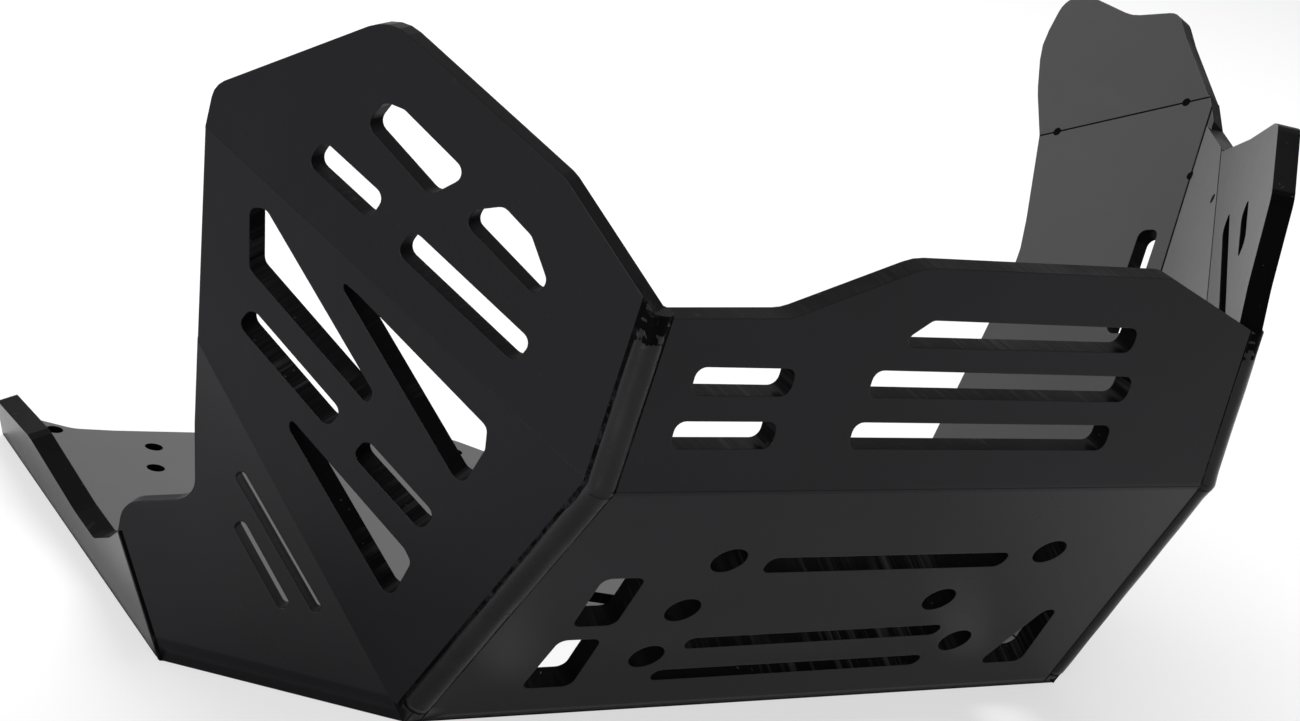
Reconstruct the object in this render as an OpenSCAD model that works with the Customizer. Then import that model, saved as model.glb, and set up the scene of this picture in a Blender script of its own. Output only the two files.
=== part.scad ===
// Motorcycle skid plate: one 8 mm plastic sheet, cut, folded and closed with two welded corner seams.
// The front faces -Y. +Z is up, and the reference point lies on the underside of the belly.

/* [Sheet] */
// Thickness of the sheet
plate_t = 8; // [6:0.5:10]
// Radius of the welding bead along the two corner seams
bead_r = 5; // [3:0.5:6]
// Height of the bead over both panels
bead_proud = 0.8; // [0.4:0.1:1.2]

/* [Belly] */
// Distance from the front fold back to the reference point
ref_y = 110; // [90:1:120]
// Width of the belly at its front fold
nose_w = 278; // [260:1:300]
// Length of the belly along its long left edge
belly_len = 240; // [225:1:260]
// Length of the belly along its short right edge
belly_right_len = 114; // [100:1:130]
// Depth of the step in the rear edge, at the left corner
rear_step = 20; // [10:1:30]

/* [Nose and brow] */
// Distance by which the brow fold stands ahead of the front fold
nose_reach = 63; // [50:1:75]
// Height of the brow fold over the underside
nose_rise = 112; // [100:1:120]
// Width at the brow fold
brow_w = 248; // [240:1:256]
// Forward lean of the brow, in degrees
brow_lean = 4.5; // [0:0.5:8]
// Height of the brow at the seams
brow_side_h = 58; // [54:1:62]
// Height of the brow at its middle
brow_mid_h = 78; // [74:1:84]

/* [Left side] */
// Turn of the side wall away from the direction of travel, in degrees
side_turn = 32.5; // [30:0.5:35]
// Turn of the upper wing, in degrees
wing_turn = 37.5; // [36:0.5:40]
// Turn of the low skirt, in degrees
skirt_turn = 53.5; // [50:0.5:56]
// Inward tilt of the low skirt, in degrees
skirt_tilt = 7; // [4:0.5:9]
// Length of the skirt along its foot
skirt_len = 85; // [78:1:92]
// Flare of the rear lip, in degrees
lip_flare = 20; // [12:1:28]
// Height of the rear lip along its face
lip_h = 17; // [14:1:22]
// Distance of the side wall's rear edge behind the front corner, along the wall
side_rear = 91; // [86:1:95]
// Height of the wing over the brow fold
wing_h = 120; // [112:1:128]

/* [Right side] */
// Length of the front crease of the tall wall
tall_crease = 255; // [245:1:262]
// Length of the upper crease of the right wing
right_crease = 195; // [190:1:198]
// Height of the fold in the tall wall, along its face, at the rear
flap_fold_rear = 188; // [180:1:194]
// Height of the fold in the tall wall, along its face, at the front
flap_fold_front = 236; // [230:1:240]
// Bend of the top flap back towards upright, in degrees
flap_bend = 8; // [4:1:12]

/* [Cut-outs] */
// Height of the vent slots in the brow
slot_h = 9.5; // [7:0.5:10]
// Distance from one vent slot to the next
slot_pitch = 18.3; // [17:0.1:20]
// Corner radius of the cut-outs, left by the milling cutter
cut_r = 3.5; // [1.5:0.5:4]
// Diameter of the bolt head holes in the nose
nose_hole_d = 13; // [10:0.5:16]
// Diameter of the bolt holes in the belly
bolt_d = 7; // [5:0.5:9]

/* [Hidden] */
$fn = 48;
black = "#1c1c1e";
arc_step = 18;
far = 2 * plate_t;
// How much of the wedge behind the low crease the two panels fill
crease_fill = 0.85;
// Laps of the panels over their folds
belly_lap = 0.1;
nose_lap = 0.16;
brow_lap = 0.22;
side_lap = 0.28;
wing_lap = 0.34;
low_lap = 0.4;
lip_lap = 0.46;
flap_lap = 0.2;
// Depth by which the low panels stand behind the corner that four panels share
set_back = 0.25;
// Length of the crease between the skirt and the lip
lip_crease = 45;
// Distances of the two ends of the flap fold from the front corner, along the tall wall
fold_front_run = 128;
fold_rear_run = 198;

// Vectors
function unit(v) = v / norm(v);
function lean(v) = v.z < 0 ? -unit(v) : unit(v);
function facing(a, b, side) = let (n = unit(cross(a, b))) n * side < 0 ? -n : n;
function turned(v, axis, a) =
    v * cos(a) + cross(axis, v) * sin(a) + axis * (axis * v) * (1 - cos(a));

// A panel's frame: its reference point, the two axes in its outer face, and the outward normal
function frame(at, n) = let (u = unit(cross([0, 0, 1], n))) [at, u, cross(n, u), n];
function local(f, p) = [(p - f[0]) * f[1], (p - f[0]) * f[2]];

// Corners that the panels share
nose_l = [-nose_w / 2, 0, 0];
brow_l = [-brow_w / 2, -nose_reach, nose_rise];
brow_up = [0, -sin(brow_lean), cos(brow_lean)];
foot_dir = [-sin(side_turn), cos(side_turn), 0];
skirt_dir = [-sin(skirt_turn), cos(skirt_turn), 0];
skirt_end = nose_l + skirt_len * skirt_dir;

// Outward normals of the panels
outside = [-1, -0.5, 0];
n_nose = facing([1, 0, 0], brow_l - nose_l, [0, -1, 0]);
n_brow = facing([1, 0, 0], brow_up, [0, -1, 0]);
n_side = facing(brow_l - nose_l, foot_dir, outside);
n_wing = [-cos(wing_turn), -sin(wing_turn), 0];
n_skirt = [-cos(skirt_turn) * cos(skirt_tilt), -sin(skirt_turn) * cos(skirt_tilt), sin(skirt_tilt)];
n_lip = [-cos(lip_flare), 0, -sin(lip_flare)];

// Directions of the creases between them
crease_low = lean(cross(n_side, n_skirt));
crease_up = lean(cross(n_side, n_wing));
crease_lip = lean(cross(n_skirt, n_lip));
seam_up = lean(cross(n_brow, n_wing));
n_tall = facing([0, 1, 0], crease_low, outside);

f_nose = frame([0, 0, 0], n_nose);
f_brow = frame([0, brow_l.y, brow_l.z], n_brow);
f_side = frame(nose_l, n_side);
f_wing = frame(brow_l, n_wing);
f_skirt = frame(nose_l - set_back * n_skirt, n_skirt);
f_lip = frame(skirt_end, n_lip);
f_tall = frame(nose_l - set_back * n_tall, n_tall);

seam_top = brow_l + brow_side_h / (seam_up * brow_up) * seam_up;
// Where the side wall's vertical rear edge meets its two creases
rear_low = nose_l + side_rear / -(crease_low * f_side[1]) * crease_low;
rear_up = brow_l + (side_rear + local(f_side, brow_l).x) / -(crease_up * f_side[1]) * crease_up;
lip_top = skirt_end + lip_crease * crease_lip;
tall_top = nose_l + tall_crease * crease_low;
right_top = brow_l + right_crease * crease_up;

// Fold of the tall wall's flap, and the frame of the flap
fold_front = f_tall[0] - fold_front_run * f_tall[1] + flap_fold_front * f_tall[2];
fold_rear = f_tall[0] - fold_rear_run * f_tall[1] + flap_fold_rear * f_tall[2];
fold_dir = unit(fold_front - fold_rear);
n_flap = turned(n_tall, fold_dir, -flap_bend);
f_flap = [fold_rear, fold_dir, cross(n_flap, fold_dir), n_flap];

// An outline whose corners [x, y, r] are rounded, each by an arc that its two sides have room for
function corner(p0, p1, p2, r) =
    let (
        a = unit(p0 - p1),
        b = unit(p2 - p1),
        half = acos(max(-1, min(1, a * b))) / 2,
        room = 0.48 * min(norm(p0 - p1), norm(p2 - p1)),
        rr = min(r, room * tan(half)),
        sweep = 180 - 2 * half,
        steps = ceil(sweep / arc_step),
        mid = p1 + unit(a + b) * rr / sin(half),
        s = p1 + a * rr / tan(half) - mid,
        e = p1 + b * rr / tan(half) - mid
    )
    r == 0 || sweep < 1
        ? [p1]
        : [for (i = [0:steps])
            mid + (s * sin(sweep * (1 - i / steps)) + e * sin(sweep * i / steps)) / sin(sweep)];

function flat(p) = [p.x, p.y];
function rounded(pts) =
    let (n = len(pts))
    [for (i = [0:n - 1])
        each corner(flat(pts[(i + n - 1) % n]), flat(pts[i]), flat(pts[(i + 1) % n]),
            len(pts[i]) > 2 ? pts[i].z : 0)];
function all_round(pts, r) = [for (p = pts) [p.x, p.y, r]];

// An outline whose sides are all moved out by a small lap, so that the panels pass through each other
// at a fold and no two corners of them fall on one point
function winding(pts) =
    let (n = len(pts))
    sign([for (i = [0:n - 1]) 1] * [for (i = [0:n - 1])
        pts[i].x * pts[(i + 1) % n].y - pts[(i + 1) % n].x * pts[i].y]);
function lapped(pts, lap) =
    let (
        n = len(pts),
        turn = winding(pts),
        outs = [for (i = [0:n - 1])
            let (d = unit(flat(pts[(i + 1) % n]) - flat(pts[i]))) [d.y, -d.x] * turn]
    )
    [for (i = [0:n - 1])
        let (
            a = outs[(i + n - 1) % n],
            b = outs[i],
            p = flat(pts[i]) + (a + b) * lap / (1 + a * b)
        )
        [p.x, p.y, len(pts[i]) > 2 ? pts[i].z : 0]];
module outline(pts, lap) polygon(rounded(lapped(pts, lap)));

module place(f)
    multmatrix([
        [f[1].x, f[2].x, f[3].x, f[0].x],
        [f[1].y, f[2].y, f[3].y, f[0].y],
        [f[1].z, f[2].z, f[3].z, f[0].z]])
        children();

// A panel of the sheet, with its outer face in the frame's plane
module sheet(f) place(f) translate([0, 0, -plate_t]) linear_extrude(plate_t) children();

module cut(pts) polygon(rounded(all_round(pts, cut_r)));

// A slot with parallel sides, from one point to another
module slot(a, b, w = slot_h)
{
    along = unit(b - a);
    across = [-along.y, along.x] * w / 2;
    cut([a + across, a - across, b - across, b + across]);
}

// Round hole through a panel, square to it
module bore(f, p, d)
    place(f) translate([p.x, p.y, -plate_t - far]) cylinder(d = d, h = plate_t + 2 * far);

// Where two panels bend away from each other, each runs past the crease until they meet inside.
// These are the two corners of a panel's overrun, given the crease and the other panel's normal.
function overrun(f, from, to, n2) =
    let (
        p = local(f, from),
        q = local(f, to),
        along = unit(q - p),
        side = [-along.y, along.x],
        inward = local([[0, 0, 0], f[1], f[2]], -n2),
        reach = crease_fill * plate_t * tan(acos(f[3] * n2) / 2),
        away = side * inward > 0 ? side * reach : -side * reach
    )
    [q - 2 * reach * along + away, p + 2 * reach * along + away];

// A stretch of the welding bead, which lies in a corner between two panels
module bead(from, to, n1, n2)
{
    along = unit(to - from);
    inward = -unit(n1 + n2);
    depth = (bead_r - bead_proud) / -(inward * n1);
    f = [from + depth * inward, inward, cross(along, inward), along];
    place(f) cylinder(r = bead_r, h = norm(to - from));
}

// Corner points of the belly
belly_left = [skirt_end.x, skirt_end.y];
lip_end = belly_len;
main_rear = lip_end - rear_step;
// The skirt leans in over the belly, which ends inside it
skirt_step = 3 * plate_t * tan(skirt_tilt);
// Bolt holes of the belly, each by its distance from the middle and ahead of the end of the lip
belly_holes = [[-192, 14], [-157, 31], [-163, 51], [-28, 36]];

module belly_panel()
    linear_extrude(plate_t)
        difference()
        {
            outline([
                [nose_l.x + skirt_step, 0],
                [-nose_l.x, 0],
                [-nose_l.x, belly_right_len],
                [-12, main_rear - 18, 14],
                [-24, main_rear - 2, 10],
                [-168, main_rear + 5, 12],
                [-184, main_rear + 7, 10],
                [belly_left.x + 6, lip_end, 4],
                [belly_left.x, lip_end],
                [belly_left.x, belly_left.y + skirt_step]],
                belly_lap);
            cut([[-96, 12], [-60, 12], [-36, 60], [-72, 60]]);
            slot([-62, 82], [14, 50]);
        }

module belly()
    difference()
    {
        belly_panel();
        for (p = belly_holes)
            translate([p.x, lip_end - p.y, -far]) cylinder(d = bolt_d, h = plate_t + 2 * far);
    }

// The sloping nose
nose_top = local(f_nose, brow_l).y;
// Outer edge of the windows on the left, and the top of the triangular one on the right
window_l = nose_l.x + 38;
window_r = -nose_l.x - 36;
nose_holes = [[-58, 90.5], [76, 90.5], [-61.5, 62], [44.5, 62.5], [-62, 34], [69, 34.5]];

module nose_outline()
    outline([
        [nose_l.x, 0],
        [-nose_l.x, 0],
        [-brow_l.x, nose_top],
        [brow_l.x, nose_top]],
        nose_lap);

module nose()
    difference()
    {
        sheet(f_nose)
            difference()
            {
                nose_outline();
                slot([-42, 87], [59, 86.5], slot_h - 1);
                slot([-50, 41], [57, 42.5], slot_h - 3);
                slot([-54, 21.5], [60, 22.5], slot_h - 3);
                cut([[window_l, 82], [window_l + 16, 82], [window_l + 17, 54.5], [window_l + 0.5, 54.5]]);
                cut([[window_l, 46.5], [window_l + 16, 46.5], [window_l + 17, 17.5], [window_l - 2.5, 17.5]]);
                cut([[window_r, 66], [window_r - 13, 17.5], [window_r + 7.5, 17.5]]);
            }
        for (p = nose_holes)
            bore(f_nose, p, nose_hole_d);
    }

// The upright brow, with its two columns of vent slots
// Outer end of the short slots
vent_l = brow_l.x + 20;

module brow_outline()
{
    fold_half = -brow_l.x;
    top_half = -seam_top.x;
    outline([
        [-fold_half, 0],
        [fold_half, 0],
        [top_half, brow_side_h],
        [72, brow_mid_h, 10],
        [-29, brow_mid_h, 20],
        [-73, brow_side_h + 1.5, 16],
        [-top_half, brow_side_h]],
        brow_lap);
}

module brow()
    sheet(f_brow)
        difference()
        {
            brow_outline();
            for (row = [0:1])
                slot(
                    [vent_l + row * 2, 19.8 + row * slot_pitch],
                    [vent_l + 37 + row, 19.8 + row * slot_pitch]);
            for (row = [0:1])
                slot([-38 + row * 1.5, 19.8 + row * slot_pitch], [68 + row * 2, 19.2 + row * slot_pitch]);
            cut([[-32, 51], [65, 51], [65, 60], [-20, 60.5]]);
        }

// The folded side wall over the nose's end, with the rear end of its outline given
module side_panel(rear)
    sheet(f_side)
        difference()
        {
            outline(concat([[0, 0], local(f_side, brow_l)], rear), side_lap);
            children();
        }

module wing_panel(rear)
    sheet(f_wing)
        difference()
        {
            outline(concat([[0, 0], local(f_wing, seam_top)], rear), wing_lap);
            children();
        }

// The left side wall with its triangular windows
module left_side()
    side_panel(concat(
        [local(f_side, rear_up), local(f_side, rear_low)],
        overrun(f_side, nose_l, rear_low, n_skirt)))
    {
        cut([[-67, 166], [-73, 164], [-72, 143], [-24, 112], [-22, 117]]);
        slot([-73, 126], [-36, 102]);
        cut([[-36, 148.5], [-36, 151], [-31, 149], [20, 121], [20, 113], [14, 99], [10, 99]]);
        slot([-26, 96], [2, 79]);
        cut([[-53.5, 92], [-53, 96], [-6, 66], [-3, 62], [-10, 44]]);
    }

module left_wing()
    wing_panel([
        [-31.8, wing_h - 30, 9],
        [-97, wing_h, 14],
        [local(f_wing, rear_up).x + 0.8, wing_h - 36, 8],
        local(f_wing, rear_up)])
    {
        cut([[-98.5, 87], [-94, 95.5], [-87, 95], [-62, 82], [-73.5, 72]]);
        slot([-114, 74], [-90, 63]);
        cut([[-60, 67], [-58.5, 72], [-49, 76], [-38.5, 70], [-30.5, 58], [-33.5, 52.5]]);
        slot([-79, 56], [-33.5, 34.5]);
    }

// The low skirt with its shelf at the rear
module skirt()
    sheet(f_skirt)
        difference()
        {
            outline(concat(
                [
                    [0, 0],
                    local(f_skirt, skirt_end),
                    local(f_skirt, lip_top),
                    [-106.5, 50, 7],
                    [-83, 57, 7],
                    [-88, 82, 30],
                    local(f_skirt, rear_low)],
                overrun(f_skirt, nose_l, rear_low, n_side)),
                low_lap);
            slot([-71, 69.5], [-36, 30], 3.6);
            slot([-68, 53], [-47, 28.5], 4.2);
        }

// The flared lip along the belly's left edge
module lip()
{
    run = lip_end - skirt_end.y;
    sheet(f_lip)
        outline([
            [0, 0],
            local(f_lip, lip_top),
            [-33, lip_h + 14, 6],
            [-60, lip_h, 10],
            [-83, lip_h, 30],
            [-135, lip_h + 6.5, 20],
            [-run + 4, lip_h, 5],
            [-run, 0]],
            lip_lap);
}

// The right side wall, plain
module right_side()
    side_panel([local(f_side, right_top), local(f_side, tall_top)]);

module right_wing()
    wing_panel([
        [-3, 73, 10],
        [-11, 103, 8],
        [-44, wing_h + 1, 8],
        [-52, wing_h, 20],
        [-103, wing_h - 17, 0],
        local(f_wing, right_top)])
    {
        slot([-102, 71], [-28, 46]);
        slot([-64, 86], [-42, 75]);
    }

// The tall right wall, up to the fold of its flap
module tall_wall()
    sheet(f_tall)
        difference()
        {
            outline([
                [0, 0],
                local(f_tall, tall_top),
                local(f_tall, fold_front),
                local(f_tall, fold_rear),
                [-170, 152, 60],
                [-156, 132, 60],
                [-145, 98, 60],
                [-belly_right_len, 0]],
                low_lap);
            slot([-106, 173], [-84, 128]);
        }

// The flap, bent back from the tall wall
module flap()
    sheet(f_flap)
        outline([
            [0, 0],
            [norm(fold_front - fold_rear), 0],
            [71, 32, 20],
            [66, 46.5, 8],
            [42, 51, 20],
            [16, 69, 6],
            [5, 68, 12],
            [-5, 48, 30],
            [-4, 24, 40]],
            flap_lap);

module right_half()
    mirror([1, 0, 0])
    {
        right_side();
        right_wing();
        tall_wall();
        flap();
    }

// The bead rounds the corner at the brow fold and ends in a short run-out over the sheet's edge
module seam()
{
    lower = unit(brow_l - nose_l);
    bead(nose_l + 1.2 * bead_r * lower, brow_l + 0.3 * bead_r * lower, n_nose, n_side);
    bead(brow_l - 0.3 * bead_r * seam_up, seam_top + 0.3 * bead_r * seam_up, n_brow, n_wing);
}

module panels()
{
    belly();
    nose();
    brow();
    left_side();
    left_wing();
    skirt();
    lip();
    right_half();
    seam();
    mirror([1, 0, 0]) seam();
}

// The walls end flush with the underside of the belly
module skid_plate()
    color(black)
        translate([0, -ref_y, 0])
            difference()
            {
                panels();
                translate([-nose_w, -nose_w, -nose_w]) cube([2 * nose_w, 2 * nose_w + belly_len, nose_w]);
            }

skid_plate();
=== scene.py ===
"""A motorcycle skid plate of folded black plastic sheet, in a plain pale studio.

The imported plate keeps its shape. This script gives its faces, cut edges and grooves their finishes,
lays the melted surface of the welds over its beads, and adds the floor, the lights and the camera.
"""

import functools
import math

import bmesh
import bpy
from mathutils import Matrix, Vector


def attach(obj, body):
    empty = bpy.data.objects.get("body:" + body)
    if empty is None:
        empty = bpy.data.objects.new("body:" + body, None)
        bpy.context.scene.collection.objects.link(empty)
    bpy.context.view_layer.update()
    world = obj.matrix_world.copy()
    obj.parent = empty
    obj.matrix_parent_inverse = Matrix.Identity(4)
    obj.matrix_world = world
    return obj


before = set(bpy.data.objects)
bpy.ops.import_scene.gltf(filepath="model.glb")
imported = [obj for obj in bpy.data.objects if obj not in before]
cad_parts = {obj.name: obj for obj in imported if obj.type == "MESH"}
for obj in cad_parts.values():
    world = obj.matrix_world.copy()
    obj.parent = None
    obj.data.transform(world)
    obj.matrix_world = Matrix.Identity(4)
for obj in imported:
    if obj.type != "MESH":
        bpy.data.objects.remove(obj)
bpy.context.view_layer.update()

MM = 0.001

# The sheet and its folds, in metres and degrees, as in the part's source
PLATE_T = 8 * MM
REF_Y = 110 * MM
NOSE_W = 278 * MM
NOSE_REACH = 63 * MM
NOSE_RISE = 112 * MM
BROW_W = 248 * MM
BROW_LEAN = 4.5
BROW_SIDE_H = 58 * MM
SIDE_TURN = 32.5
WING_TURN = 37.5
SKIRT_TURN = 53.5
SKIRT_TILT = 7
SKIRT_LEN = 85 * MM
LIP_FLARE = 20
FLAP_FOLD_REAR = 188 * MM
FLAP_FOLD_FRONT = 236 * MM
FOLD_REAR_RUN = 198 * MM
FOLD_FRONT_RUN = 128 * MM
FLAP_BEND = 8

# Outer radius that the folds show: those round the belly, and those above it
LOW_FOLD_R = 7 * MM
HIGH_FOLD_R = 9 * MM

# The milled grooves along the inner creases, as deep as a bump of so many millimetres, and the
# drilled marks near the grooves' ends
GROOVE_HALF = 0.5 * MM
GROOVE_DEEP = 0.5
MARK_R = 2 * MM
FLAP_MARK_REAR = 9 * MM
FLAP_MARK_FRONT = 11 * MM
TALL_MARK_UP = 228 * MM
RIGHT_MARK_UP = 168 * MM
RIGHT_MARK_DROP = 4 * MM
SKIRT_MARK_UP = 90 * MM
LEFT_MARK_UP = 75 * MM

# The painted shade beside the weld beads, near-black lines along the beads' edges: their distance from
# the corner, and half their width.
# They are broad on the sides, and fine on the nose and brow.
BROAD_TOE_SHADE = (5.3 * MM, 0.9 * MM)
FINE_TOE_SHADE = (5.2 * MM, 0.35 * MM)

# How closely a face has to lie and point as a panel does to count as that panel's
FACE_OFF = 0.7 * MM
FACE_TURN = 0.995
EDGE_OFF = 0.5 * MM

# Radius by which the sheet's sharp edges are broken
FACE_BREAK = 0.6 * MM
EDGE_BREAK = 0.5 * MM

# The weld beads: rings up the corner, without the first few, each an ellipse about a sunk point
WELD_STEP = 1.5 * MM
WELD_START = 5
WELD_SIDES = 20
WELD_WIDE = 4.6 * MM
WELD_HIGH = 3.65 * MM
WELD_SINK = 3.2 * MM

# Each ripple of a bead with its height, its pace and its start, and the swelling at the shoulder
WELD_RIPPLES = ((0.012, 0.31, 0), (0.010, 0.13, 1))
WELD_SWELL = 0.12
WELD_SWELL_R = 4 * MM

# The rough lump at a bead's upper end: how many rings it takes, and how far it strays
LUMP_RINGS = 6
LUMP_SPREAD = 0.15
LUMP_ROUGH = 0.10

# The camera of the photograph
PHOTO_W = 1300
PHOTO_H = 721
SENSOR_W = 36
FOCAL_PX = 2542
CENTRE_PX = (640.7, 407.3)
HEADING = 33.12
DOWN = 19.26
ROLL = 12.66
DISTANCE = 940 * MM
TARGET = Vector((-22.4 * MM, 81.2 * MM - REF_Y, 80 * MM))

# The floor and the world: how much of the floor's own white is seen and mirrored
FLOOR_HALF = 30
FLOOR_DROP = 0.3 * MM
FLOOR_SEEN = 0.6
FLOOR_MIRRORED = 0.12
WORLD_FILL = 0.4


def direction(heading, rise):
    """A unit vector by its heading from +Y towards +X and its rise, both in degrees."""
    a, b = math.radians(heading), math.radians(rise)
    return Vector((math.sin(a) * math.cos(b), math.cos(a) * math.cos(b), math.sin(b)))


def square_to(a, b, side):
    """The unit vector square to two directions, on the given side."""
    n = Vector(a).cross(Vector(b)).normalized()
    return n if n.dot(Vector(side)) > 0 else -n


def mirrored(v):
    """The same point or direction on the other side of the plate."""
    return Vector((-v.x, v.y, v.z))


# The corners that the panels share on the left, where the sheet is folded and welded
FOOT = Vector((-NOSE_W / 2, -REF_Y, 0))
SHOULDER = Vector((-BROW_W / 2, -NOSE_REACH - REF_Y, NOSE_RISE))
SKIRT_END = FOOT + SKIRT_LEN * direction(-SKIRT_TURN, 0)

# Outward normals of the panels on the left, where outside is roughly this way
OUTSIDE = (-1, -0.5, 0)
NOSE = square_to((1, 0, 0), SHOULDER - FOOT, (0, -1, 0))
BROW = -direction(0, BROW_LEAN)
SIDE = square_to(SHOULDER - FOOT, direction(-SIDE_TURN, 0), OUTSIDE)
WING = -direction(90 - WING_TURN, 0)
SKIRT = -direction(90 - SKIRT_TURN, -SKIRT_TILT)
LIP = -direction(90, LIP_FLARE)
BELLY = Vector((0, 0, -1))

# The creases between them, and the tall wall that shares the low crease on the right
CREASE_LOW = square_to(SIDE, SKIRT, (0, 0, 1))
CREASE_UP = square_to(SIDE, WING, (0, 0, 1))
SEAM_UP = square_to(BROW, WING, (0, 0, 1))
TALL = square_to((0, 1, 0), CREASE_LOW, OUTSIDE)
SEAM_TOP = SHOULDER + SEAM_UP * BROW_SIDE_H


def flap_fold():
    """The two ends of the fold of the tall wall's flap, and the flap's normal, in left-hand form."""
    across = Vector((0, 0, 1)).cross(TALL).normalized()
    up = TALL.cross(across)
    front = FOOT - FOLD_FRONT_RUN * across + FLAP_FOLD_FRONT * up
    rear = FOOT - FOLD_REAR_RUN * across + FLAP_FOLD_REAR * up
    turn = Matrix.Rotation(math.radians(-FLAP_BEND), 3, (front - rear).normalized())
    return rear, front, turn @ TALL


def panel_planes():
    """A point on the outer face and the outward normal of each panel of the sheet."""
    rear, _, flap = flap_fold()
    middle = {
        "belly": (Vector((0, 0, 0)), BELLY),
        "nose": (FOOT, NOSE),
        "brow": (SHOULDER, BROW),
    }
    left = {
        "side_left": (FOOT, SIDE),
        "wing_left": (SHOULDER, WING),
        "skirt": (FOOT, SKIRT),
        "lip": (SKIRT_END, LIP),
    }
    right = {
        "side_right": (FOOT, SIDE),
        "wing_right": (SHOULDER, WING),
        "tall_wall": (FOOT, TALL),
        "flap": (rear, flap),
    }
    turned = {name: (mirrored(point), mirrored(normal)) for name, (point, normal) in right.items()}
    return middle | left | turned


def folds():
    """Each bend of the sheet: a point on it, its direction, its two panels' normals and its radius.

    A radius of 0 stands for a crease that bends the other way, which is sharp.
    """
    rear, front, flap = flap_fold()
    level = Vector((1, 0, 0))
    back = Vector((0, 1, 0))
    left = [
        (FOOT, CREASE_LOW, SIDE, SKIRT, 0),
        (SHOULDER, CREASE_UP, SIDE, WING, HIGH_FOLD_R),
        (FOOT, direction(-SKIRT_TURN, 0), SKIRT, BELLY, LOW_FOLD_R),
        (SKIRT_END, back, LIP, BELLY, LOW_FOLD_R),
    ]
    middle = [
        (FOOT, level, NOSE, BELLY, LOW_FOLD_R),
        (SHOULDER, level, NOSE, BROW, HIGH_FOLD_R),
    ]
    right = [
        (FOOT, CREASE_LOW, SIDE, TALL, 0),
        (SHOULDER, CREASE_UP, SIDE, WING, HIGH_FOLD_R),
        (FOOT, back, TALL, BELLY, LOW_FOLD_R),
        (rear, (front - rear).normalized(), TALL, flap, HIGH_FOLD_R),
    ]
    turned = [(*map(mirrored, vectors), radius) for *vectors, radius in right]
    return left + middle + turned


def inner_crease(point, n1, n2):
    """The point across the sheet from a fold's own, where the two inner faces meet."""
    return point - PLATE_T * (n1 + n2) / (1 + n1.dot(n2))


def drilled_marks():
    """Where a small drill starts and ends the grooves of the creases, on the inner face."""
    rear, front, flap = flap_fold()
    fold = (front - rear).normalized()
    flap_rear = inner_crease(rear, TALL, flap)
    flap_front = inner_crease(front, TALL, flap)
    low = inner_crease(FOOT, SIDE, TALL)
    left_low = inner_crease(FOOT, SIDE, SKIRT)
    up = inner_crease(SHOULDER, SIDE, WING)
    down_side = square_to(SIDE, CREASE_UP, (0, 0, -1))
    left = [
        left_low + SKIRT_MARK_UP * CREASE_LOW,
        up + LEFT_MARK_UP * CREASE_UP,
    ]
    right = [
        flap_rear + FLAP_MARK_REAR * fold,
        flap_front - FLAP_MARK_FRONT * fold,
        low + TALL_MARK_UP * CREASE_LOW,
        up + RIGHT_MARK_UP * CREASE_UP + RIGHT_MARK_DROP * down_side,
    ]
    return left + [mirrored(point) for point in right]


class Val:
    """A socket whose operators add Math nodes."""

    def __init__(self, graph, socket):
        self.graph = graph
        self.socket = socket

    def _math(self, operation, *values, clamp=False):
        settings = {"operation": operation, "use_clamp": clamp}
        return self.graph.add("ShaderNodeMath", settings, list(values))

    def __add__(self, other):
        return self._math("ADD", self, other)

    __radd__ = __add__

    def __sub__(self, other):
        return self._math("SUBTRACT", self, other)

    def __rsub__(self, other):
        return self._math("SUBTRACT", other, self)

    def __mul__(self, other):
        return self._math("MULTIPLY", self, other)

    __rmul__ = __mul__

    def __abs__(self):
        return self._math("ABSOLUTE", self)

    def __gt__(self, limit):
        return self._math("GREATER_THAN", self, limit)

    def __lt__(self, limit):
        return self._math("LESS_THAN", self, limit)

    def most(self, other):
        return self._math("MAXIMUM", self, other)

    def least(self, other):
        return self._math("MINIMUM", self, other)

    def clamped(self):
        """Kept between 0 and 1."""
        return self._math("ADD", self, 0.0, clamp=True)

    def past(self, limit, slope):
        """0 up to a limit, and from there up to 1 at a slope."""
        return ((self - limit) * slope).clamped()


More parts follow.
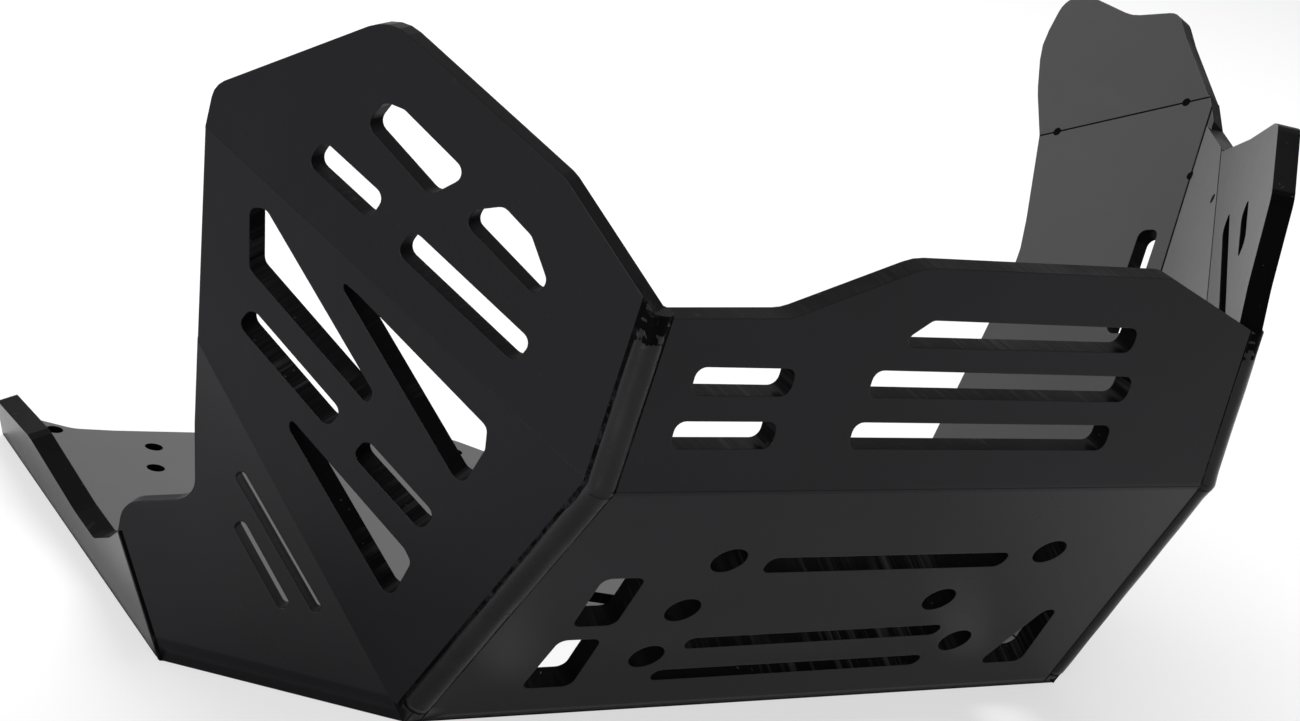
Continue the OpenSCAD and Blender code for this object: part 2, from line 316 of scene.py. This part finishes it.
class Graph:
    """The node tree of one material or world."""

    def __init__(self, tree):
        self.tree = tree
        tree.nodes.clear()

    def node(self, kind, settings=None, inputs=None):
        """A node of a type, with its settings made first and then the values or links of its sockets."""
        n = self.tree.nodes.new(kind)
        for name, value in (settings or {}).items():
            setattr(n, name, value)
        pairs = inputs.items() if isinstance(inputs, dict) else enumerate(inputs or [])
        for key, value in pairs:
            if isinstance(value, Val):
                self.tree.links.new(value.socket, n.inputs[key])
            else:
                n.inputs[key].default_value = value
        return n

    def add(self, kind, settings=None, inputs=None, out=0):
        """The same, as the value of one of its outputs."""
        return Val(self, self.node(kind, settings, inputs).outputs[out])

    def place(self):
        """The shaded point in the object's own frame, in metres."""
        return self.add("ShaderNodeTexCoord", out="Object")

    def vector(self, operation, *values):
        return self.add("ShaderNodeVectorMath", {"operation": operation}, list(values))

    def number(self, operation, *values):
        """A vector operation that gives a single number."""
        return self.add("ShaderNodeVectorMath", {"operation": operation}, list(values), out=1)

    def noise(self, at, scale, detail=2.0, roughness=0.5):
        return self.add(
            "ShaderNodeTexNoise",
            {"noise_dimensions": "3D"},
            {"Vector": at, "Scale": scale, "Detail": detail, "Roughness": roughness},
        )

    def streaks(self, at, scales, detail, roughness):
        """Noise with a scale of its own along each axis."""
        return self.noise(self.vector("MULTIPLY", at, scales), 1.0, detail, roughness)

    def mix_colour(self, factor, a, b):
        """A mix of two colours, which are the sockets 6 and 7."""
        return self.add("ShaderNodeMix", {"data_type": "RGBA"}, {"Factor": factor, 6: a, 7: b}, out=2)

    def bump(self, height, edge_break=None):
        """The bump of a height in millimetres, on edges broken by a radius."""
        inputs = {"Strength": 1.0, "Distance": MM, "Height": height}
        if edge_break:
            inputs["Normal"] = self.add("ShaderNodeBevel", {"samples": 4}, {"Radius": edge_break})
        return self.add("ShaderNodeBump", None, inputs)

    def plastic(self, colour, roughness, bump, gloss):
        """The shader of a plastic surface, with the level of its gloss."""
        return self.add(
            "ShaderNodeBsdfPrincipled",
            None,
            {
                "Base Color": colour,
                "Roughness": roughness,
                "Normal": bump,
                "IOR": 1.5,
                "Specular IOR Level": gloss,
            },
        )

    def mix_shader(self, factor, a, b):
        return self.add("ShaderNodeMixShader", None, [factor, a, b])

    def show(self, shader, output="ShaderNodeOutputMaterial"):
        """Makes a shader the surface of the material or world."""
        self.node(output, None, {"Surface": shader})


def greatest(values):
    return functools.reduce(Val.most, values)


def least(values):
    return functools.reduce(Val.least, values)


def grey(level):
    return (level, level, level, 1)


def new_material(name):
    """A new material and its empty graph."""
    material = bpy.data.materials.new(name)
    material.use_nodes = True
    return material, Graph(material.node_tree)


def new_object(name, data):
    """A new object in the scene."""
    obj = bpy.data.objects.new(name, data)
    bpy.context.collection.objects.link(obj)
    return obj


def away_from(g, place, point, along):
    """Distance from a straight line."""
    offset = g.vector("SUBTRACT", place, tuple(point))
    return g.number("LENGTH", g.vector("CROSS_PRODUCT", offset, tuple(along)))


def panel_masks(g, place):
    """For each panel, where its outer and inner faces lie, and how far a point is outside its plane."""
    facet = g.add("ShaderNodeNewGeometry", out="True Normal")
    masks = {}
    for name, (point, normal) in panel_planes().items():
        depth = g.number("DOT_PRODUCT", g.vector("SUBTRACT", place, tuple(point)), tuple(normal))
        level = abs(abs(depth + PLATE_T / 2) - PLATE_T / 2) < FACE_OFF
        facing = abs(g.number("DOT_PRODUCT", facet, tuple(normal))) > FACE_TURN
        masks[name] = (facing * level, depth)
    return masks


def faces_of(masks, *names):
    """Where the faces of some panels lie."""
    return greatest([masks[name][0] for name in names])


def rounded_bends(g, place):
    """Height that the outer faces lose near a bend, in millimetres, so that the bend looks rounded."""
    drops = []
    for point, along, n1, n2, radius in folds():
        if radius:
            width = radius * math.tan(n1.angle(n2) / 2)
            near = (width - away_from(g, place, point, along)).most(0.0)
            drops.append(near * near * (0.5 / radius / MM))
    return greatest(drops)


def crease_grooves(g, place):
    """The milled grooves along the inner creases: 1 in the groove, 0 beside it."""
    lines = []
    for point, along, n1, n2, _ in folds():
        inner = inner_crease(point, n1, n2)
        lines.append(away_from(g, place, inner, along) < GROOVE_HALF)
    return greatest(lines)


def drill_points(g, place):
    """The small drilled marks near the ends of the grooves."""
    marks = []
    for point in drilled_marks():
        offset = g.vector("SUBTRACT", place, tuple(point))
        marks.append(g.number("LENGTH", offset) < MARK_R)
    return greatest(marks)


def weld_toe_shade(g, place, masks):
    """Where shade is painted beside the weld beads, as dark lines along their edges."""
    lines = [(FOOT, SHOULDER - FOOT), (SHOULDER, SEAM_UP)]
    corners = [
        away_from(g, place, turn(point), turn(along.normalized()))
        for turn in (Vector, mirrored)
        for point, along in lines
    ]
    near = least(corners)
    broad, fine = [abs(near - far) < half for far, half in (BROAD_TOE_SHADE, FINE_TOE_SHADE)]
    sides = faces_of(masks, "side_left", "wing_left", "side_right", "wing_right")
    front = faces_of(masks, "nose", "brow")
    return (broad * sides).most(fine * front)


def cutter_marks(g, place, masks):
    """Fine ridges across a cut edge, which run square to the panel that it belongs to."""
    planes = panel_planes()
    marks = []
    for name in ("side_left", "side_right", "brow", "nose", "belly", "tall_wall"):
        point, normal = planes[name]
        depth = masks[name][1]
        inside = (depth < EDGE_OFF) * (depth > -PLATE_T - EDGE_OFF)
        out = g.add(
            "ShaderNodeVectorMath", {"operation": "SCALE"}, {0: tuple(normal), "Scale": depth}
        )
        marks.append(g.noise(g.vector("SUBTRACT", place, out), 330, 3, 0.75) * inside)
    return greatest(marks)


def face_finish(g, place, relief):
    """The sheet's own satin surface: deep black with a faint violet cast, haze, and a few scuffs."""
    haze = g.noise(place, 8, 3)
    mottle = g.noise(place, 48, 4, 0.6)
    grain = g.noise(place, 1500, 2, 0.6)
    streaks = g.streaks(place, (14.0, 160.0, 40.0), 3, 0.6)
    scuffs = g.streaks(place, (900.0, 90.0, 300.0), 2, 0.5)
    scratched = scuffs.past(0.69, 9) * mottle.past(0.5, 5)
    tone = ((haze - 0.35) * 1.4 + (streaks - 0.5) * 0.5).clamped()
    colour = g.mix_colour(tone, (0.0040, 0.0037, 0.0047, 1), (0.0068, 0.0058, 0.0084, 1))
    colour = g.mix_colour(scratched * 0.4, colour, grey(0.02))
    rough = (0.25 + (haze - 0.5) * 0.10 + (mottle - 0.5) * 0.06 + scratched * 0.15).clamped()
    height = relief + mottle * 0.012 + haze * 0.06 + grain * 0.004
    return g.plastic(colour, rough, g.bump(height, FACE_BREAK), gloss=0.15)


def inner_finish(g, place, relief, pale):
    """The sheet's inner side, hazier than the outer one, and palest on the right near the front, where
    painted light lifts the colour.
    """
    haze = g.noise(place, 7, 3)
    mottle = g.noise(place, 60, 4, 0.6)
    rubbed = g.streaks(place, (120.0, 20.0, 60.0), 3, 0.6).past(0.5, 3)
    tone = ((haze - 0.35) * 1.5 + rubbed * 0.3).clamped()
    colour = g.mix_colour(tone, grey(0.016), (0.026, 0.026, 0.027, 1))
    # Painted light: the inner faces of the right side and wing are mixed towards pale grey.
    colour = g.mix_colour(pale, colour, grey(0.1))
    rough = (0.40 + (haze - 0.5) * 0.10 + (mottle - 0.5) * 0.08).clamped()
    height = relief + mottle * 0.012 + haze * 0.05
    return g.plastic(colour, rough, g.bump(height, FACE_BREAK), gloss=0.38)


def edge_finish(g, place, masks):
    """The milled edges: near black, with the cutter's marks and pale specks of torn plastic."""
    marks = cutter_marks(g, place, masks)
    specks = g.noise(place, 420, 2, 0.5).past(0.73, 16)
    smooth = g.noise(place, 16, 2).past(0.45, 5)
    patches = g.noise(place, 22, 2).past(0.46, 8)
    chatter = marks.past(0.5, 5) * patches
    colour = g.mix_colour(chatter, grey(0.0016), (0.0180, 0.0173, 0.0195, 1))
    colour = g.mix_colour(specks * 0.5, colour, grey(0.11))
    rough = (0.38 - smooth * 0.18 + marks * 0.15).clamped()
    return g.plastic(colour, rough, g.bump(marks * 0.30, EDGE_BREAK), gloss=0.01)


def sheet_material():
    """Black plastic sheet: satin faces, milled edges, dark grooves at the creases, and painted shade
    beside the welds.
    """
    material, g = new_material("black_plastic_sheet")
    place = g.place()
    masks = panel_masks(g, place)
    faces = faces_of(masks, *masks)
    inner = greatest([mask * (depth < -PLATE_T / 2) for mask, depth in masks.values()])
    # Painted light: the right side and wing, whose inner faces are painted paler.
    pale = faces_of(masks, "side_right", "wing_right")
    grooves = crease_grooves(g, place).most(drill_points(g, place)) * inner
    # Painted shade: the lines beside the welds take the near-black edge finish and a shallow bump, like
    # the crease grooves.
    dark = grooves.most(weld_toe_shade(g, place, masks))
    cut = (1 - faces).most(dark)
    relief = 0.0 - rounded_bends(g, place) - dark * GROOVE_DEEP
    outer_side = face_finish(g, place, relief)
    inner_side = inner_finish(g, place, relief, pale)
    both_sides = g.mix_shader(inner, outer_side, inner_side)
    g.show(g.mix_shader(cut, both_sides, edge_finish(g, place, masks)))
    return material


def weld_material():
    """The melted plastic of the weld: smooth satin black with fine drag lines and a few dull patches."""
    material, g = new_material("weld_plastic")
    place = g.place()
    drag = g.noise(place, 260, 3, 0.6)
    dull = g.noise(place, 35, 3).past(0.5, 4)
    colour = g.mix_colour(dull, grey(0.004), grey(0.007))
    rough = (0.22 + dull * 0.2 + drag * 0.1).clamped()
    g.show(g.plastic(colour, rough, g.bump(drag * 0.15), gloss=0.2))
    return material


def dress_plate():
    """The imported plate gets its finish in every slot."""
    material = sheet_material()
    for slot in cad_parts["skid_plate"].material_slots:
        slot.material = material


def weld_path(turn):
    """Points up one welded corner, along the middle of the bead, with the outward direction at each."""
    stops = [(FOOT, NOSE + SIDE), (SHOULDER, NOSE + SIDE + BROW + WING), (SEAM_TOP, BROW + WING)]
    points = []
    for (start, out_a), (end, out_b) in zip(stops, stops[1:]):
        steps = int((end - start).length / WELD_STEP)
        for i in range(steps):
            part = i / steps
            out = out_a.normalized().lerp(out_b.normalized(), part).normalized()
            points.append((turn(start.lerp(end, part)), turn(out)))
    points.append((turn(SEAM_TOP), turn((BROW + WING).normalized())))
    return points[WELD_START:]


def bead_ring(i, rings_to_go, at, along, out, shoulder):
    """The points of one ring, which ripples a little, swells at the shoulder and ends rough."""
    across = along.cross(out).normalized()
    end = max(0.0, 1 - rings_to_go / LUMP_RINGS)
    ripple = sum(height * math.sin(i * pace + start) for height, pace, start in WELD_RIPPLES)
    swell = WELD_SWELL * math.exp(-(((at - shoulder).length / WELD_SWELL_R) ** 2))
    spread = LUMP_SPREAD * end * math.sin(i * 2.3)
    droop = LUMP_ROUGH * end * (1 + math.sin(i * 2.1 + 0.6))
    wide = WELD_WIDE * (1 + ripple + spread)
    high = WELD_HIGH * (1 + ripple + swell - droop)
    points = []
    for j in range(WELD_SIDES):
        a = 2 * math.pi * j / WELD_SIDES
        pinch = 1 - LUMP_ROUGH * end * math.sin(3 * a + i * 1.7) ** 2
        reach = across * wide * math.cos(a) + out * high * math.sin(a)
        points.append(at - out * WELD_SINK + reach * pinch)
    return points


def bead_mesh(name, path, shoulder):
    """A closed tube of rings along a path."""
    mesh = bmesh.new()
    last = len(path) - 1
    rings = []
    for i, (at, out) in enumerate(path):
        along = (path[min(i + 1, last)][0] - path[max(i - 1, 0)][0]).normalized()
        ring = bead_ring(i, last - i, at, along, out, shoulder)
        rings.append([mesh.verts.new(point) for point in ring])
    for low, high in zip(rings, rings[1:]):
        for j in range(WELD_SIDES):
            k = (j + 1) % WELD_SIDES
            mesh.faces.new((low[j], low[k], high[k], high[j]))
    mesh.faces.new(rings[0][::-1])
    mesh.faces.new(rings[-1])
    bmesh.ops.recalc_face_normals(mesh, faces=mesh.faces)
    for face in mesh.faces:
        face.smooth = True
    data = bpy.data.meshes.new(name)
    mesh.to_mesh(data)
    mesh.free()
    return data


def weld_bead(name, turn, material):
    """The plastic weld up one corner: a low strip that ripples a little and ends in a rough lump."""
    data = bead_mesh(name, weld_path(turn), turn(SHOULDER))
    data.materials.append(material)
    piece = new_object(name, data)
    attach(piece, "root")


def seen_directly(g):
    """1 for the camera's own rays and for those that a glossy or clear surface sends on."""
    kinds = ("Is Camera Ray", "Is Glossy Ray", "Is Transmission Ray")
    return greatest([g.add("ShaderNodeLightPath", out=kind) for kind in kinds])


def floor_material():
    """Matt white, part of which is the white background that the camera sees."""
    material, g = new_material("pale_floor")
    colour = g.mix_colour(g.noise(g.place(), 2.5, 2), grey(0.92), grey(0.95))
    matte = g.add("ShaderNodeBsdfPrincipled", None, {"Base Color": colour, "Roughness": 0.9})
    white = g.add("ShaderNodeEmission", None, {"Color": grey(1.0), "Strength": 1.0})
    by_camera = g.add("ShaderNodeLightPath", out="Is Camera Ray")
    share = (by_camera * FLOOR_SEEN).most(seen_directly(g) * FLOOR_MIRRORED)
    g.show(g.mix_shader(share, matte, white))
    return material


def floor():
    """A plain white floor, far wider than the view, which keeps the plate's soft shadow."""
    half = FLOOR_HALF
    mesh = bpy.data.meshes.new("floor")
    corners = [(-half, -half, 0), (half, -half, 0), (half, half, 0), (-half, half, 0)]
    mesh.from_pydata(corners, [], [(0, 1, 2, 3)])
    mesh.materials.append(floor_material())
    obj = new_object("floor", mesh)
    obj.location.z = -FLOOR_DROP


def soft_light(name, heading, rise, distance, size, power):
    """A square soft box that looks at the plate."""
    light = bpy.data.lights.new(name, "AREA")
    light.shape = "SQUARE"
    light.size = size
    light.energy = power
    towards = -direction(heading, rise)
    obj = new_object(name, light)
    obj.location = TARGET - towards * distance
    obj.rotation_euler = towards.to_track_quat("-Z", "Y").to_euler()


def studio():
    """Even white surroundings and four soft boxes."""
    world = bpy.data.worlds.new("studio")
    bpy.context.scene.world = world
    world.use_nodes = True
    g = Graph(world.node_tree)
    strength = WORLD_FILL + (1 - WORLD_FILL) * seen_directly(g)
    white = g.add("ShaderNodeBackground", None, {"Color": grey(1.0), "Strength": strength})
    g.show(white, "ShaderNodeOutputWorld")
    soft_light("top_box", heading=20, rise=62, distance=2.2, size=1.6, power=42)
    soft_light("back_box", heading=-34, rise=18, distance=2.0, size=1.1, power=4)
    soft_light("side_box", heading=-95, rise=34, distance=2.4, size=1.2, power=8)
    soft_light("front_box", heading=-133, rise=7, distance=2.4, size=1.0, power=28)


def camera():
    """The camera at the photograph's viewing angle."""
    view = direction(HEADING, -DOWN)
    level = direction(HEADING + 90, 0)
    above = level.cross(view)
    roll = math.radians(ROLL)
    right = level * math.cos(roll) + above * math.sin(roll)
    up = right.cross(view)
    data = bpy.data.cameras.new("camera")
    data.sensor_width = SENSOR_W
    data.lens = FOCAL_PX / PHOTO_W * SENSOR_W
    data.shift_x = (PHOTO_W / 2 - CENTRE_PX[0]) / PHOTO_W
    data.shift_y = (CENTRE_PX[1] - PHOTO_H / 2) / PHOTO_W
    data.clip_start = 0.01
    data.clip_end = 100
    obj = new_object("camera", data)
    turn = Matrix((right, up, -view)).transposed().to_4x4()
    obj.matrix_world = Matrix.Translation(TARGET - view * DISTANCE) @ turn
    bpy.context.scene.camera = obj


camera()
floor()
studio()
dress_plate()
weld = weld_material()
weld_bead("weld_left", Vector, weld)
weld_bead("weld_right", mirrored, weld)
bpy.context.scene.view_settings.view_transform = "Standard"
